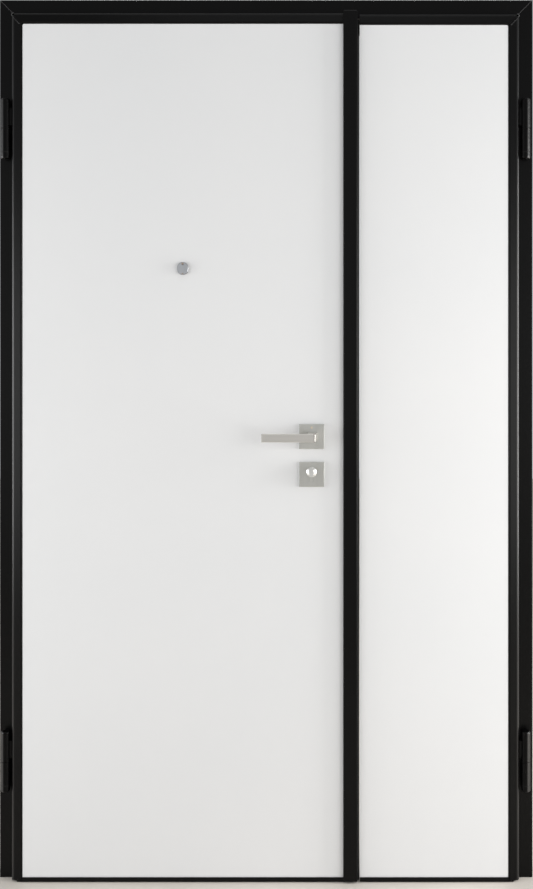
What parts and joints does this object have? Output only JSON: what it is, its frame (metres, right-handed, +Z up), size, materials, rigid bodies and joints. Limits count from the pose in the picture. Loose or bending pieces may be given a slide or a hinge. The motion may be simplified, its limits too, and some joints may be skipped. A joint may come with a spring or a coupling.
{
  "type": "entrance door",
  "caption": "Leaf-and-a-half steel entrance door with frame: wide main leaf with lever, thumbturn and viewer, narrow second leaf, white panels in folded black edges on barrel hinges.",
  "frame": {"origin": "on the left jamb's wall face, at floor level, in the middle of the frame's depth", "axes": "+X across the doorway from the main leaf's hinge side, +Y out of the room through the doorway, +Z up; the room side, to which both leaves open, faces -Y"},
  "size_m": [1.306, 0.185, 2.15],
  "materials": {
    "black_coat": "fine textured black powder coat",
    "white_panel": "satin white laminate on fibreboard",
    "satin_nickel": "brushed satin nickel",
    "polished_nickel": "polished nickel",
    "rubber": "matt black rubber",
    "zinc": "zinc plated steel",
    "core": "galvanized case, filled",
    "cap": "matt black plastic",
    "lens": "clear glass"
  },
  "bodies": {
    "frame": {"left_jamb": "black_coat", "right_jamb": "black_coat", "frame_head": "black_coat", "left_seal": "rubber", "right_seal": "rubber", "head_seal": "rubber", "fixing_caps": "cap", "main_lower_frame_knuckle": "black_coat", "main_upper_frame_knuckle": "black_coat", "half_lower_frame_knuckle": "black_coat", "half_upper_frame_knuckle": "black_coat"},
    "main_leaf": {"main_leaf_core": "core", "main_inner_panel": "white_panel", "main_outer_panel": "white_panel", "main_hinge_edge": "black_coat", "main_top_edge": "black_coat", "main_lock_edge": "black_coat", "main_bottom_rail": "black_coat", "meeting_strip": "black_coat", "meeting_seal": "rubber", "lock_faceplate": "zinc", "lock_bolts": "zinc", "inner_handle_rose": "satin_nickel", "outer_handle_rose": "satin_nickel", "inner_cylinder_rose": "satin_nickel", "outer_cylinder_rose": "satin_nickel", "lock_cylinder": "satin_nickel", "viewer_tube": "satin_nickel", "viewer_lenses": "lens", "main_lower_leaf_knuckle": "black_coat", "main_upper_leaf_knuckle": "black_coat"},
    "lever_handle": {"inner_lever": "satin_nickel", "outer_lever": "satin_nickel", "spindle": "zinc"},
    "thumbturn_knob": {"thumbturn": "polished_nickel"},
    "viewer_flap": {"viewer_cover": "satin_nickel"},
    "half_leaf": {"half_leaf_core": "core", "half_inner_panel": "white_panel", "half_outer_panel": "white_panel", "half_hinge_edge": "black_coat", "half_top_edge": "black_coat", "half_meeting_edge": "black_coat", "half_bottom_rail": "black_coat", "strike_plate": "zinc", "half_lower_leaf_knuckle": "black_coat", "half_upper_leaf_knuckle": "black_coat"}
  },
  "joints": [
    {"name": "main_leaf_swing", "type": "hinge", "parent": "frame", "child": "main_leaf", "pos_m": [0.0188, -0.06, 1.065], "axis": [0, 0, -1], "range_deg": [0, 170]},
    {"name": "half_leaf_swing", "type": "hinge", "parent": "frame", "child": "half_leaf", "pos_m": [1.2872, -0.06, 1.065], "axis": [0, 0, 1], "range_deg": [0, 170]},
    {"name": "lever_turn", "type": "hinge", "parent": "main_leaf", "child": "lever_handle", "pos_m": [0.766, -0.03, 1.0825], "axis": [0, -1, 0], "range_deg": [0, 45], "stiffness_Nm_per_rad": 2, "springref_deg": -20.05},
    {"name": "thumbturn_turn", "type": "hinge", "parent": "main_leaf", "child": "thumbturn_knob", "pos_m": [0.766, -0.086, 0.9975], "axis": [0, -1, 0], "continuous": true},
    {"name": "viewer_flap_swing", "type": "hinge", "parent": "main_leaf", "child": "viewer_flap", "pos_m": [0.453, -0.073, 1.5005], "axis": [0, -1, 0], "range_deg": [-120, 120]}
  ]
}
